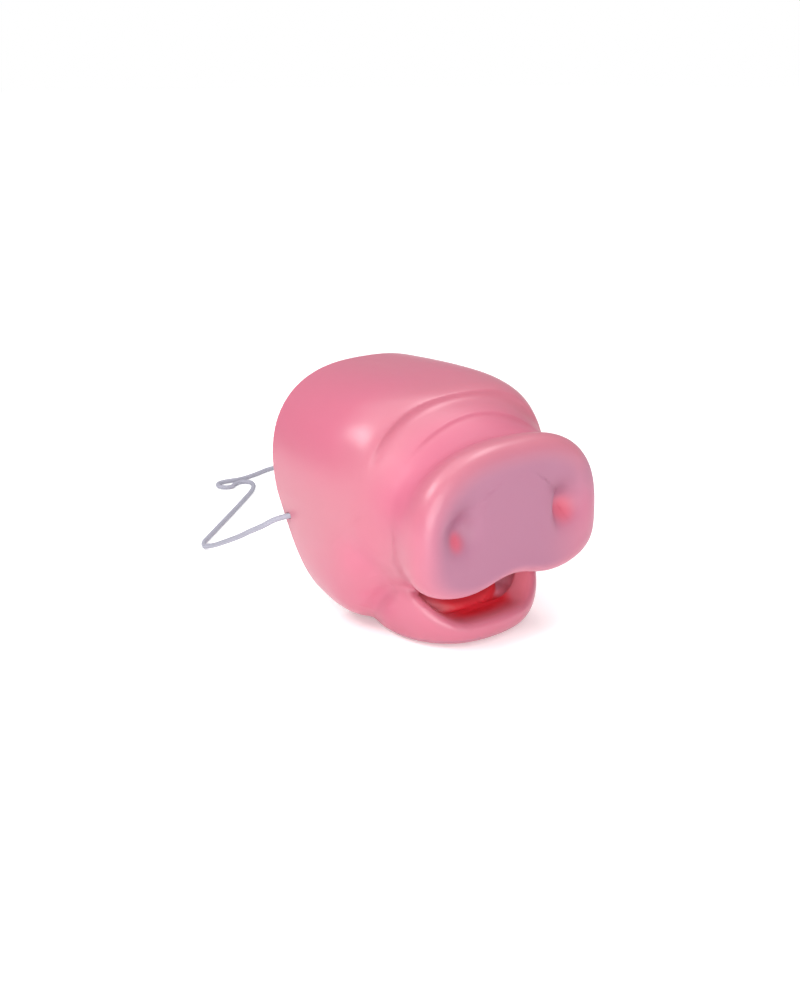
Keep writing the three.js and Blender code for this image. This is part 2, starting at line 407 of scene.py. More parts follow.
@dataclass(frozen=True)
class Muzzle:
    """The hollow muzzle without its lower jaw: cheeks, bridge, neck and nose disc."""

    sections: tuple = (
        Section(0.0, 0.0385, 0, 0.0325, 0.0262, 0.0142, 2.6, 3.0, 0, 0.0042, 4),
        Section(0.0005, 0.0385, 0, 0.0353, 0.0292, 0.0155, 2.6, 3.0, 0, 0.0042, 4),
        Section(0.0016, 0.0385, 0, 0.0373, 0.0312, 0.0165, 2.65, 3.05, 0, 0.0042, 4),
        Section(0.0034, 0.0385, 0, 0.0387, 0.0327, 0.0171, 2.65, 3.1, 0, 0.0042, 5),
        Section(0.0060, 0.0388, 0, 0.0394, 0.0330, 0.0176, 2.65, 3.1, 0, 0.004, 6),
        Section(0.0095, 0.0405, 0, 0.0394, 0.0307, 0.0194, 2.5, 3.0, 0, 0.0034, 6),
        Section(0.0140, 0.0435, 0, 0.0388, 0.0266, 0.0226, 2.2, 3.1, 0, 0.0025, 10),
        Section(0.020, 0.0465, 2, 0.0379, 0.0284, 0.0265, 1.88, 3.4, 0, 0.0015, 14),
        Section(0.0265, 0.048, 4, 0.0391, 0.0318, 0.0315, 2.2, 3.0, 0, 0, 10),
        Section(0.0300, 0.048, 4, 0.0406, 0.0340, 0.0338, 2.6, 3.0, 0, 0, 8),
        Section(0.0345, 0.0475, 5, 0.0425, 0.036, 0.0367, 2.8, 3.0, 0, 0, 8),
        Section(0.042, 0.0465, 7, 0.0448, 0.0384, 0.0415, 2.8, 3.3, 0.04, 0, 6),
        Section(0.051, 0.046, 10, 0.046, 0.0397, 0.0455, 2.7, 3.8, 0.08, 0, 6),
        Section(0.0615, 0.046, 14, 0.0463, 0.0402, 0.047, 2.6, 4.0, 0.11, 0, 6),
        Section(0.072, 0.046, 17, 0.0458, 0.0404, 0.0465, 2.5, 4.0, 0.13, 0, 6),
    )
    wrinkles: tuple = (
        Wrinkle(0.0287, 0.0011, 0.0018, 48.0, 76.0),
        Wrinkle(0.0210, 0.0008, 0.0016, 36.0, 64.0),
    )
    nostril: Nostril = Nostril()
    near_nostril: Nostril = Nostril(across=0.0225, depth=0.0042, inner=0.0050, outer=0.0066)
    notch_spread: float = 0.013
    dish: float = 0.0008
    face_rings: int = 12
    face_start: float = 0.3
    around: int = 144
    past: float = 0.012
    past_shares: tuple = (0.33, 0.67, 1.0)
    press_full: float = 0.003
    press_end: float = 0.0075

    @property
    def rim(self) -> Section:
        """The outline of the rear edge."""
        return self.sections[-1]

    @property
    def depth(self) -> float:
        """The muzzle's length from the disc's face to the rim's top."""
        return self.rim.back + self.rim.up * math.sin(math.radians(self.rim.tilt))

    def behind(self, back: float | np.ndarray) -> float | np.ndarray:
        """The Y of a place that is so far behind the disc's face."""
        return back - self.depth / 2

    def rim_plane(self) -> tuple[Vector, Vector]:
        """The flat cut of the rear edge.

        Returns:
            A point on it, and its outward direction.
        """
        tilt = math.radians(self.rim.tilt)
        point = Vector((0.0, self.behind(self.rim.back), self.rim.middle))
        return point, Vector((0.0, math.cos(tilt), -math.sin(tilt)))

    def rows(self) -> np.ndarray:
        """The outlines from the disc's edge to a little past the rim.

        Returns:
            One row of a section's numbers for each outline.
        """
        table = np.array([astuple(section)[:-1] for section in self.sections])
        run = (table[-1] - table[-2]) / (table[-1, 0] - table[-2, 0])
        steps = [section.steps for section in self.sections[:-1]]
        beyond = [table[-1] + run * self.past * share for share in self.past_shares]
        return np.concatenate([through(table, steps), beyond])

    def outline(self, row: np.ndarray) -> np.ndarray:
        """The points of one outline.

        Args:
            row: A section's numbers.

        Returns:
            Its points, at equal turns from the pig's left over the top.
        """
        back, middle, tilt, half, up, down, square_up, square_down, taper, notch = row
        turn = np.arange(self.around) * 2 * np.pi / self.around
        upper = turn < np.pi + A_HAIR
        across, rise = rounded(turn, np.where(upper, square_up, square_down))
        x = across * half * (1.0 - np.where(upper, 0.0, taper * -rise))
        lift = rise * np.where(upper, up, down - notch * np.exp(-((x / self.notch_spread) ** 2)))
        lean = math.radians(tilt)
        return np.stack([x, self.behind(back) + lift * math.sin(lean), middle + lift * math.cos(lean)], 1)

    def rings(self) -> np.ndarray:
        """All the outlines, from the middle of the disc's face to past the rim.

        Returns:
            The rings that the muzzle is lofted from.
        """
        sides = np.array([self.outline(row) for row in self.rows()])
        centre = np.array([0.0, self.behind(0.0), self.sections[0].middle])
        face = []
        for share in (np.arange(self.face_rings) + self.face_start) / self.face_rings:
            ring = centre + (sides[0] - centre) * share
            ring[:, 1] += self.dish * (1.0 - share ** 2)
            face.append(ring)
        return np.concatenate([np.array(face), sides])

    def press_nostrils(self, points: np.ndarray) -> np.ndarray:
        """Presses the two nostrils into the disc.

        Args:
            points: Points of the muzzle, or of its hollow.

        Returns:
            The moved points.
        """
        start, end = self.behind(self.press_full), self.behind(self.press_end)
        near_face = 1.0 - smoothstep(points[:, 1], start, end)
        across, height = np.abs(points[:, 0]), points[:, 2]
        left = self.nostril.press(across, height)
        right = self.near_nostril.press(across, height)
        moved = points.copy()
        moved[:, 1] += near_face * np.where(points[:, 0] > 0.0, left, right)
        return moved


# The lower jaw and the mouth


@dataclass(frozen=True)
class Plan:
    """A level outline with a front and a rear of its own, for the jaw, the mouth and the tongue."""

    centre: float
    rear: float
    square: float
    around: int = 144

    def turns(self) -> np.ndarray:
        """The angles round the outline, from the front."""
        return np.arange(self.around) * 2 * np.pi / self.around

    def ring(self, half: float, front: float, height: float | np.ndarray, grow: float = 0.0) -> np.ndarray:
        """One outline at its height.

        Args:
            half: Half of its width.
            front: How far it reaches ahead of its centre.
            height: The height of each point.
            grow: How much larger it is all round.

        Returns:
            The outline's points.
        """
        ahead, across = rounded(self.turns(), np.full(self.around, self.square))
        reach = np.where(ahead > 0.0, front, self.rear) + grow
        heights = np.broadcast_to(height, ahead.shape)
        return np.stack([across * (half + grow), self.centre - ahead * reach, heights], axis=1)

    def spread(self, points: np.ndarray, half: float, front: float) -> np.ndarray:
        """How far out points lie on the plan, with 1 on the outline.

        Args:
            points: The points to place.
            half: Half of the outline's width.
            front: How far it reaches ahead of its centre.

        Returns:
            One number for each point.
        """
        ahead = self.centre - points[:, 1]
        along = np.abs(ahead) / np.where(ahead > 0.0, front, self.rear)
        return ((np.abs(points[:, 0]) / half) ** self.square + along ** self.square) ** (1.0 / self.square)


@dataclass(frozen=True)
class Jaw:
    """The lower jaw: a bowl with a rolled lip that rises to the mouth's corners."""

    plan: Plan = Plan(centre=-0.0084, rear=0.025, square=2.2)
    rings: tuple = (
        (0.0235, 0.0215, 0.0),
        (0.0272, 0.0240, 0.10),
        (0.0304, 0.0260, 0.40),
        (0.0316, 0.0267, 0.70),
        (0.0312, 0.0263, 0.90),
        (0.0298, 0.0248, 1.00),
        (0.0274, 0.0200, 0.97),
        (0.0246, 0.0140, 0.88),
    )
    lip_front: float = 0.0088
    lip_corner: float = 0.0245
    rise_start: float = 20.0
    rise_end: float = 85.0
    steps: int = 5

    def lip_height(self) -> np.ndarray:
        """The height of the lip's top at each turn of the plan."""
        from_front = np.degrees(np.arccos(np.clip(np.cos(self.plan.turns()), -1.0, 1.0)))
        rise = smoothstep(from_front, self.rise_start, self.rise_end)
        return self.lip_front + (self.lip_corner - self.lip_front) * rise

    def build(self) -> bpy.types.Object:
        """Lofts the jaw.

        Returns:
            The jaw's solid.
        """
        rows = through(np.array(self.rings), self.steps)
        height = self.lip_height()
        rings = [self.plan.ring(half, front, lift * height) for half, front, lift in rows]
        return loft("jaw", np.array(rings))


@dataclass(frozen=True)
class Mouth:
    """The room between the lips, with a tongue that fills most of its floor."""

    plan: Plan = Plan(centre=-0.0084, rear=0.008, square=3.2)
    rings: tuple = (
        (0.0215, 0.0115, 0.0074),
        (0.0235, 0.0132, 0.0082),
        (0.0243, 0.0139, 0.0122),
        (0.0240, 0.0138, 0.0152),
        (0.0205, 0.0134, 0.0182),
        (0.0130, 0.0120, 0.0202),
        (0.0050, 0.0060, 0.0210),
    )
    tongue_plan: Plan = Plan(centre=-0.004, rear=0.012, square=2.0)
    tongue_half: float = 0.0205
    tongue_front: float = 0.0165
    tongue_rings: tuple = (
        (1.0, 0.0020),
        (1.0, 0.0080),
        (0.975, 0.0091),
        (0.86, 0.0097),
        (0.5, 0.0101),
        (0.1, 0.0102),
    )
    tongue_slope: float = 0.42
    steps: int = 4
    tongue_steps: int = 5

    def build(self, grow: float = 0.0) -> bpy.types.Object:
        """Lofts the room.

        Args:
            grow: How much larger it is all round.

        Returns:
            The room's solid.
        """
        rows = through(np.array(self.rings), self.steps)
        lowest, highest = rows[0, 2], rows[-1, 2]
        rings = []
        for half, front, height in rows:
            level = height + grow * (2.0 * (height - lowest) / (highest - lowest) - 1.0)
            rings.append(self.plan.ring(half, front, level, grow))
        return loft("mouth", np.array(rings))

    def build_tongue(self) -> bpy.types.Object:
        """Lofts the tongue.

        Returns:
            The tongue's solid.
        """
        rows = through(np.array(self.tongue_rings), self.tongue_steps)
        tip = self.tongue_plan.centre - self.tongue_front
        rings = []
        for number, (share, height) in enumerate(rows):
            plan = Plan(self.tongue_plan.centre, self.tongue_plan.rear * share, self.tongue_plan.square)
            ring = plan.ring(self.tongue_half * share, self.tongue_front * share, height)
            if number > 0:
                ring[:, 2] += self.tongue_slope * (ring[:, 1] - tip)
            rings.append(ring)
        return loft("tongue", np.array(rings))


# Finishes


def node(tree: bpy.types.NodeTree, kind: str, **values: object) -> bpy.types.Node:
    """Adds a shader node.

    Args:
        tree: The tree that it goes into.
        kind: The node's type.
        values: Its settings, and its inputs' values by name with spaces as underscores.

    Returns:
        The new node.
    """
    made = tree.nodes.new(kind)
    for name, value in values.items():
        if hasattr(made, name):
            setattr(made, name, value)
        else:
            made.inputs[name.replace("_", " ")].default_value = value
    return made


def paint_over(
    tree: bpy.types.NodeTree, under: object, mask: object, colour: tuple
) -> bpy.types.NodeSocket:
    """Lays a coat of paint over a colour.

    Args:
        tree: The material's tree.
        under: The colour below, as a socket or as three numbers.
        mask: The socket that says where the paint is.
        colour: The paint's colour.

    Returns:
        The socket of the painted colour.
    """
    mix = node(tree, "ShaderNodeMix", data_type="RGBA")
    # The mix has several sockets of each name, so they are taken by number
    share, below, above, mixed = mix.inputs[0], mix.inputs[6], mix.inputs[7], mix.outputs[2]
    if isinstance(under, tuple):
        below.default_value = (*under, 1.0)
    else:
        tree.links.new(under, below)
    above.default_value = (*colour, 1.0)
    tree.links.new(mask, share)
    return mixed


def attribute(tree: bpy.types.NodeTree, name: str) -> bpy.types.NodeSocket:
    """The socket of one of the piece's own paint masks."""
    return node(tree, "ShaderNodeAttribute", attribute_name=name).outputs["Fac"]


def scaled(tree: bpy.types.NodeTree, value: object, low: float, high: float) -> bpy.types.NodeSocket:
    """Carries a value from 0 to 1 to a range of its own.

    Args:
        tree: The material's tree.
        value: The socket to carry.
        low: What 0 becomes.
        high: What 1 becomes.

    Returns:
        The socket of the carried value.
    """
    carried = node(tree, "ShaderNodeMapRange", To_Min=low, To_Max=high)
    tree.links.new(value, carried.inputs["Value"])
    return carried.outputs["Result"]


@dataclass(frozen=True)
class VinylFinish:
    """Soft pink vinyl with sprayed paint on the disc, in the nostrils and in the mouth, and with painted
    shade and painted light in its hollows, on its lip and along the jaw's floor edge.
    """

    pink: tuple = (0.462, 0.145, 0.193)
    pink_deep: tuple = (0.452, 0.137, 0.185)
    rose_and_shade_colour: tuple = (0.505, 0.113, 0.187)
    # A deeper pink: the crown's own tone, and painted shade round the neck, under the chin, in the cheek
    # pouches and at the mouth's corners.
    mauve: tuple = (0.318, 0.116, 0.190)
    # The dark purple of the painted shade in the nostril pockets.
    pocket_shade: tuple = (0.230, 0.058, 0.115)
    coral: tuple = (0.540, 0.080, 0.128)
    # The paler pink of the painted light on the lip and the mouth's floor.
    lip: tuple = (0.800, 0.255, 0.320)
    red: tuple = (0.860, 0.036, 0.058)
    # The darker red of the painted shade on the tongue.
    tongue_shade_red: tuple = (0.560, 0.022, 0.036)
    # Unpainted vinyl made much paler as painted light, for the groove in the mouth's shade.
    bare_and_lit: tuple = (0.960, 0.480, 0.600)
    # The grey of the painted contact shadow along the jaw's floor edge.
    line: tuple = (0.330, 0.140, 0.200)
    roughness: float = 0.305
    roughness_range: float = 0.05
    matte: float = 0.25
    specular: float = 0.62
    subsurface: float = 0.06
    subsurface_reach: float = 0.003
    subsurface_tint: tuple = (1.0, 0.35, 0.30)
    mottle_scale: float = 70.0
    cloud_scale: float = 175.0
    cloud_detail: float = 1.0
    peel_scale: float = 900.0
    peel_detail: float = 2.0
    peel_depth: float = 0.00001
    peel_strength: float = 0.5
    noise_roughness: float = 0.5

    def build(self) -> bpy.types.Material:
        """Makes the material.

        Returns:
            The vinyl.
        """
        material = bpy.data.materials.new("painted_vinyl")
        material.use_nodes = True
        tree = material.node_tree
        shader = tree.nodes["Principled BSDF"]
        place = node(tree, "ShaderNodeTexCoord").outputs["Object"]
        mottle = self._noise(tree, place, self.mottle_scale, self.cloud_detail)
        colour = paint_over(tree, self.pink, mottle, self.pink_deep)
        # Besides real paint, these coats lay painted shade round the neck, under the chin, in the pouches,
        # in the nostril pockets, on the tongue and along the jaw's floor edge, and painted light on the
        # lip and in the groove beside the tongue.
        for mask, paint in (
            # the crown's deeper pink, and painted shade in the neck, under the chin, in the pouches and at
            # the mouth's corners
            ("rose_and_painted_shade", self.rose_and_shade_colour),
            # painted contact shadow along the jaw's floor edge
            ("contact_shadow_line", self.line),
            ("disc_paint", self.mauve),
            # painted shade in the nostril pockets
            ("pocket_painted_shade", self.pocket_shade),
            ("nostril_paint", self.coral),
            # painted light on the lip and the mouth's floor
            ("lip_painted_light", self.lip),
            ("mouth_paint", self.red),
            # painted shade on the tongue
            ("tongue_painted_shade", self.tongue_shade_red),
            # the unpainted groove, paler as painted light
            ("bare_groove_painted_light", self.bare_and_lit),
        ):
            colour = paint_over(tree, colour, attribute(tree, mask), paint)
        tree.links.new(colour, shader.inputs["Base Color"])
        cloud = self._noise(tree, place, self.cloud_scale, self.cloud_detail)
        low, high = self.roughness - self.roughness_range / 2, self.roughness + self.roughness_range / 2
        rough = node(tree, "ShaderNodeMath", operation="ADD")
        tree.links.new(scaled(tree, cloud, low, high), rough.inputs[0])
        tree.links.new(scaled(tree, attribute(tree, "matte"), 0.0, self.matte), rough.inputs[1])
        tree.links.new(rough.outputs[0], shader.inputs["Roughness"])
        bump = node(tree, "ShaderNodeBump", Strength=self.peel_strength, Distance=self.peel_depth)
        peel = self._noise(tree, place, self.peel_scale, self.peel_detail)
        tree.links.new(peel, bump.inputs["Height"])
        tree.links.new(bump.outputs["Normal"], shader.inputs["Normal"])
        shader.inputs["Specular IOR Level"].default_value = self.specular
        shader.inputs["Subsurface Weight"].default_value = self.subsurface
        shader.inputs["Subsurface Radius"].default_value = self.subsurface_tint
        shader.inputs["Subsurface Scale"].default_value = self.subsurface_reach
        return material

    def _noise(self, tree: bpy.types.NodeTree, place: object, scale: float, detail: float) -> object:
        """A cloudy pattern fixed to the piece.

        Args:
            tree: The material's tree.
            place: The socket of the object coordinates.
            scale: How fine the pattern is.
            detail: How many finer layers it has.

        Returns:
            The socket of the pattern.
        """
        noise = node(
            tree, "ShaderNodeTexNoise", Scale=scale, Detail=detail, Roughness=self.noise_roughness)
        tree.links.new(place, noise.inputs["Vector"])
        return noise.outputs["Fac"]


@dataclass(frozen=True)
class ElasticFinish:
    """White round elastic with a fine braided cover."""

    thread: tuple = (0.340, 0.333, 0.398)
    gap: tuple = (0.290, 0.284, 0.342)
    strands: float = 16.0
    pitch: float = 0.0015
    relief: float = 0.00005
    relief_strength: float = 0.6
    roughness: float = 0.72

    def build(self, length: float) -> bpy.types.Material:
        """Makes the material for a cord whose map runs along its length.

        Args:
            length: The cord's length.

        Returns:
            The braided elastic.
        """
        material = bpy.data.materials.new("braided_elastic")
        material.use_nodes = True
        tree = material.node_tree
        shader = tree.nodes["Principled BSDF"]
        apart = node(tree, "ShaderNodeSeparateXYZ")
        tree.links.new(node(tree, "ShaderNodeUVMap").outputs["UV"], apart.inputs["Vector"])
        turns = 2.0 * math.pi * length / self.pitch
        waves = []
        for lean in (1.0, -1.0):
            around = node(tree, "ShaderNodeMath", operation="MULTIPLY")
            around.inputs[1].default_value = 2.0 * math.pi * self.strands / 2.0 * lean
            tree.links.new(apart.outputs["Y"], around.inputs[0])
            along = node(tree, "ShaderNodeMath", operation="MULTIPLY_ADD")
            along.inputs[1].default_value = turns
            tree.links.new(apart.outputs["X"], along.inputs[0])
            tree.links.new(around.outputs[0], along.inputs[2])
            wave = node(tree, "ShaderNodeMath", operation="SINE")
            tree.links.new(along.outputs[0], wave.inputs[0])
            waves.append(wave.outputs[0])
        braid = node(tree, "ShaderNodeMath", operation="MAXIMUM")
        tree.links.new(waves[0], braid.inputs[0])
        tree.links.new(waves[1], braid.inputs[1])
        height = node(tree, "ShaderNodeMapRange", From_Min=-1.0, From_Max=1.0)
        tree.links.new(braid.outputs[0], height.inputs["Value"])
        colour = paint_over(tree, self.gap, height.outputs["Result"], self.thread)
        tree.links.new(colour, shader.inputs["Base Color"])
        bump = node(tree, "ShaderNodeBump", Strength=self.relief_strength, Distance=self.relief)
        tree.links.new(height.outputs["Result"], bump.inputs["Height"])
        tree.links.new(bump.outputs["Normal"], shader.inputs["Normal"])
        shader.inputs["Roughness"].default_value = self.roughness
        return material


# The pieces


@dataclass(frozen=True)
class CordHole:
    """Where the cord passes through a cheek, and the way that it leaves."""

    side: float = 0.0449
    along: float = 0.0245
    height: float = 0.038
    aim: tuple = (0.72, 0.62, -0.3)

    def point(self, side: Side) -> Vector:
        """The middle of the hole on a side."""
        return Vector((side.value * self.side, self.along, self.height))

    def direction(self, side: Side) -> Vector:
        """The way out of the cheek on a side."""
        return Vector((side.value * self.aim[0], self.aim[1], self.aim[2])).normalized()


@dataclass(frozen=True)
class Stroke:
    """One pass of a sculpting brush along a path."""

    path: tuple
    reach: float
    height: float
    blunt: float = 0.02

    def lift(self, points: np.ndarray) -> np.ndarray:
        """How far the stroke raises points of the skin.

        Args:
            points: The skin's points.

        Returns:
            The outward move of each point.
        """
        line = through(np.array(self.path), LINE_STEPS)
        nearest = np.full(len(points), np.inf)
        fade = np.zeros(len(points))
        for number, (start, end) in enumerate(zip(line[:-1], line[1:])):
            along = end - start
            share = np.clip((points - start) @ along / (along @ along), 0.0, 1.0)
            away = ((points - start - share[:, None] * along) ** 2).sum(axis=1)
            closer = away < nearest
            nearest = np.where(closer, away, nearest)
            fade = np.where(closer, (number + share) / (len(line) - 1), fade)
        ends = np.sqrt(np.sin(np.pi * np.clip(fade, self.blunt, 1.0 - self.blunt)))
        return self.height * ends * np.exp(-nearest / self.reach ** 2)


@dataclass(frozen=True)
class Ramp:
    """A soft change between two values, such as heights or shares of an outline."""

    start: float
    end: float

    def up(self, value: np.ndarray) -> np.ndarray:
        """0 before the start, and 1 past the end."""
        return smoothstep(value, self.start, self.end)

    def down(self, value: np.ndarray) -> np.ndarray:
        """1 before the start, and 0 past the end."""
        return 1.0 - self.up(value)


@dataclass(frozen=True)
class Band:
    """A soft stripe with a width of its own on each side of its middle."""

    middle: float
    below: float
    above: float

    def at(self, value: np.ndarray) -> np.ndarray:
        """1 on the middle, fading to 0 on both sides."""
        return bell(value - self.middle, self.below, self.above)


@dataclass(frozen=True)
class Spot:
    """A round spot of sprayed paint, also used for painted shade, that fades out over its reach."""

    place: tuple
    reach: float
    share: float

    def at(self, places: np.ndarray, firm: float = 1.0) -> np.ndarray:
        """How thick the spot is at places.

        Args:
            places: One row of coordinates for each point, as many as the spot's own.
            firm: How firm the spot's edge is.

        Returns:
            Its share at each point.
        """
        away = ((places - np.array(self.place)) ** 2).sum(axis=1) / self.reach ** 2
        return self.share * np.exp(-(away ** firm))


@dataclass(frozen=True)
class SprayAndPaintedLight:
    """Where each coat of spray paint, of painted shade and of painted light lies on the muzzle, and where
    the vinyl is more matte.
    """

    muzzle: Muzzle
    jaw: Jaw
    mouth: Mouth
    crown_height: Ramp = Ramp(0.046, 0.072)
    crown_back: Ramp = Ramp(0.026, 0.050)
    crown_share: float = 0.75
    # darker towards the bottom: painted shade under the chin
    chin_height: Ramp = Ramp(0.012, 0.044)
    chin_share: float = 0.55
    # painted shade in the cheek pouches, painted shade and overspray at the mouth's corners, and darker
    # pink on the sides of the disc's rim
    rose_and_shade_spots: tuple = (
        Spot((0.0400, -0.0100, 0.0330), 0.0085, 0.55),
        Spot((0.0325, -0.0095, 0.0140), 0.0060, 0.80),
        Spot((0.0300, -0.0415, 0.0440), 0.0120, 0.80),
    )
    # painted shade in the neck's valley behind the disc
    neck_back: Band = Band(0.0165, 0.009, 0.011)
    neck_height: Ramp = Ramp(0.030, 0.058)
    cheek_back: Band = Band(0.028, 0.008, 0.006)
    cheek_height: Ramp = Ramp(0.058, 0.067)
    # the painted contact shadow along the jaw's floor edge
    shadow_line_height: Band = Band(0.0022, 0.0006, 0.0006)
    shadow_line_reach: tuple = (0.0250, 0.0230)
    shadow_line_edge: Ramp = Ramp(0.90, 0.98)
    shadow_line_front: Ramp = Ramp(-0.014, -0.006)
    shadow_line_share: float = 0.6
    nick: Ramp = Ramp(-0.008, -0.005)
    nick_fade: float = 0.7
    disc_edge: Ramp = Ramp(0.88, 1.26)
    disc_facing: Ramp = Ramp(0.0, 0.5)
    disc_depth: Ramp = Ramp(0.006, 0.012)
    far_side: Ramp = Ramp(0.026, 0.036)
    far_spread: float = 0.20
    far_turn: float = 0.8
    thin_across: Ramp = Ramp(0.010, 0.034)
    thin_height: Ramp = Ramp(0.040, 0.062)
    thin_share: float = 0.55
    nostril_depth: Ramp = Ramp(0.0055, 0.0065)
    coral_spots: tuple = (Spot((-0.0242, 0.0424), 0.0030, 0.85), Spot((0.0230, 0.0434), 0.0042, 0.85))
    coral_firm: float = 1.5
    # painted shade in the upper part of each nostril pocket
    pocket_shade_spots: tuple = (Spot((-0.0238, 0.0508), 0.0046, 0.70), Spot((0.0200, 0.0510), 0.0046, 0.70))
    above_sole: Ramp = Ramp(0.0025, 0.0030)
    # painted light on the lip and the mouth's floor
    lip_reach: tuple = (0.0300, 0.0254)
    lip_edge: Ramp = Ramp(0.92, 1.04)
    lip_top: Ramp = Ramp(0.0165, 0.0205)
    lip_front: Ramp = Ramp(-0.0060, 0.0010)
    lip_facing: Ramp = Ramp(-0.2, 0.4)
    lip_share: float = 0.8
    red_reach: tuple = (0.0270, 0.0232)
    red_edge: Ramp = Ramp(0.72, 1.04)
    red_top: Ramp = Ramp(0.0185, 0.0215)
    red_front: Ramp = Ramp(-0.0010, 0.0010)
    red_left: Ramp = Ramp(0.010, 0.021)
    red_left_draw: float = 0.35
    red_right: Ramp = Ramp(0.006, 0.016)
    red_right_fade: float = 0.75
    tongue_edge: Ramp = Ramp(0.92, 1.08)
    # the unpainted groove beside the tongue, paler as painted light
    groove_start: Ramp = Ramp(1.0, 1.04)
    groove_reach: tuple = (0.0243, 0.0139)
    groove_end: Ramp = Ramp(0.98, 1.02)
    groove_top: Ramp = Ramp(0.0135, 0.0150)
    groove_side: Ramp = Ramp(0.010, 0.016)
    groove_right_share: float = 0.25

    def masks(self, points: np.ndarray, normals: np.ndarray) -> dict[str, np.ndarray]:
        """All the masks, under the names that the vinyl reads them by.

        Args:
            points: The shell's points.
            normals: Their outward directions.

        Returns:
            One mask for each coat.
        """
        disc = self._disc(points, normals)
        red = self._red(points)
        neck = self._neck(points)
        on_disc = points[:, [0, 2]]
        dented = self.nostril_depth.down(self._back(points))
        return {
            # the crown's own tone plus painted shade
            "rose_and_painted_shade": self._rose_and_painted_shade(points, neck),
            # painted contact shadow along the jaw's floor edge
            "contact_shadow_line": self._contact_shadow_line(points),
            "disc_paint": disc,
            # painted shade in the nostril pockets
            "pocket_painted_shade": dented * sum(spot.at(on_disc) for spot in self.pocket_shade_spots),
            "nostril_paint": dented * sum(spot.at(on_disc, self.coral_firm) for spot in self.coral_spots),
            # painted light on the lip and the mouth's floor
            "lip_painted_light": self._lip_painted_light(points, normals),
            "mouth_paint": red,
            # painted shade on the tongue, under the disc
            "tongue_painted_shade": red * self.tongue_edge.down(self._from_tongue(points)),
            # the unpainted groove, paler as painted light
            "bare_groove_painted_light": self._bare_groove_painted_light(points),
            "matte": neck + self._cheek_front(points) + disc,
        }

    def _back(self, points: np.ndarray) -> np.ndarray:
        """How far points lie behind the disc's face."""
        return points[:, 1] - self.muzzle.behind(0.0)

    def _from_tongue(self, points: np.ndarray) -> np.ndarray:
        """How far points lie from the tongue's middle, with 1 at its edge."""
        return self.mouth.tongue_plan.spread(points, self.mouth.tongue_half, self.mouth.tongue_front)

    def _neck(self, points: np.ndarray) -> np.ndarray:
        """The band of painted shade round the neck's valley, behind the disc, which is also more matte."""
        return self.neck_back.at(self._back(points)) * self.neck_height.up(points[:, 2])

    def _cheek_front(self, points: np.ndarray) -> np.ndarray:
        """The more matte front of the cheeks, below the bridge."""
        return self.cheek_back.at(self._back(points)) * self.cheek_height.down(points[:, 2])

    def _rose_and_painted_shade(self, points: np.ndarray, neck: np.ndarray) -> np.ndarray:
        """The crown's own deeper pink, plus painted shade round the neck, under the chin and in the cheek
        pouches, painted shade and overspray at the mouth's corners, and darker pink on the sides of the
        disc's rim.

        Args:
            points: The shell's points.
            neck: The mask of the painted shade round the neck.

        Returns:
            The mask.
        """
        crown = self.crown_height.up(points[:, 2]) * self.crown_back.up(self._back(points))
        chin = self.chin_height.down(points[:, 2])
        folded = np.column_stack([np.abs(points[:, 0]), points[:, 1:]])
        spots = sum(spot.at(folded) for spot in self.rose_and_shade_spots)
        return self.crown_share * crown + neck + self.chin_share * chin + spots

    def _contact_shadow_line(self, points: np.ndarray) -> np.ndarray:
        """A painted contact shadow: a grey line along the jaw's edge just above the floor, fainter past
        the trimmer's nick.

        Args:
            points: The shell's points.

        Returns:
            The mask.
        """
        edge = self.shadow_line_edge.up(self.jaw.plan.spread(points, *self.shadow_line_reach))
        line = self.shadow_line_height.at(points[:, 2]) * self.shadow_line_front.down(points[:, 1])
        return self.shadow_line_share * line * edge * (1.0 - self.nick_fade * self.nick.up(points[:, 0]))

    def _disc(self, points: np.ndarray, normals: np.ndarray) -> np.ndarray:
        """The mauve on the disc's face, thinner towards its far lower corner.

        Args:
            points: The shell's points.
            normals: Their outward directions.

        Returns:
            The mask.
        """
        face = self.muzzle.sections[0]
        across = np.abs(points[:, 0])
        rise = points[:, 2] - face.middle
        upper = rise > 0.0
        square = np.where(upper, face.square_up, face.square_down)
        notch = face.notch * np.exp(-((across / self.muzzle.notch_spread) ** 2))
        tall = np.where(upper, face.up, face.down - notch)
        out = ((across / face.half) ** square + (np.abs(rise) / tall) ** square) ** (1.0 / square)
        far = self.far_side.up(points[:, 0])
        mask = self.disc_edge.down(out - self.far_spread * far)
        mask *= self.disc_facing.up(self.far_turn * far - normals[:, 1])
        mask *= self.disc_depth.down(self._back(points))
        thin = self.thin_across.up(points[:, 0]) * self.thin_height.down(points[:, 2])
        return mask * (1.0 - self.thin_share * thin)

    def _lip_painted_light(self, points: np.ndarray, normals: np.ndarray) -> np.ndarray:
        """Painted light: a paler pink on the rolled lip and the floor of the mouth where they face up,
        standing in for light in the shade under the disc.

        Args:
            points: The shell's points.
            normals: Their outward directions.

        Returns:
            The mask.
        """
        inside = self.lip_edge.down(self.jaw.plan.spread(points, *self.lip_reach))
        level = self.above_sole.up(points[:, 2]) * self.lip_top.down(points[:, 2])
        facing = self.lip_facing.up(normals[:, 2])
        return self.lip_share * inside * level * self.lip_front.down(points[:, 1]) * facing

    def _red(self, points: np.ndarray) -> np.ndarray:
        """The red inside the mouth, which fades out over the lip.

        Args:
            points: The shell's points.

        Returns:
            The mask.
        """
        out = self.jaw.plan.spread(points, *self.red_reach)
        inside = self.red_edge.down(out + self.red_left_draw * self.red_left.up(points[:, 0]))
        level = self.above_sole.up(points[:, 2]) * self.red_top.down(points[:, 2])
        thin = 1.0 - self.red_right_fade * self.red_right.up(-points[:, 0])
        return inside * level * self.red_front.down(points[:, 1]) * thin

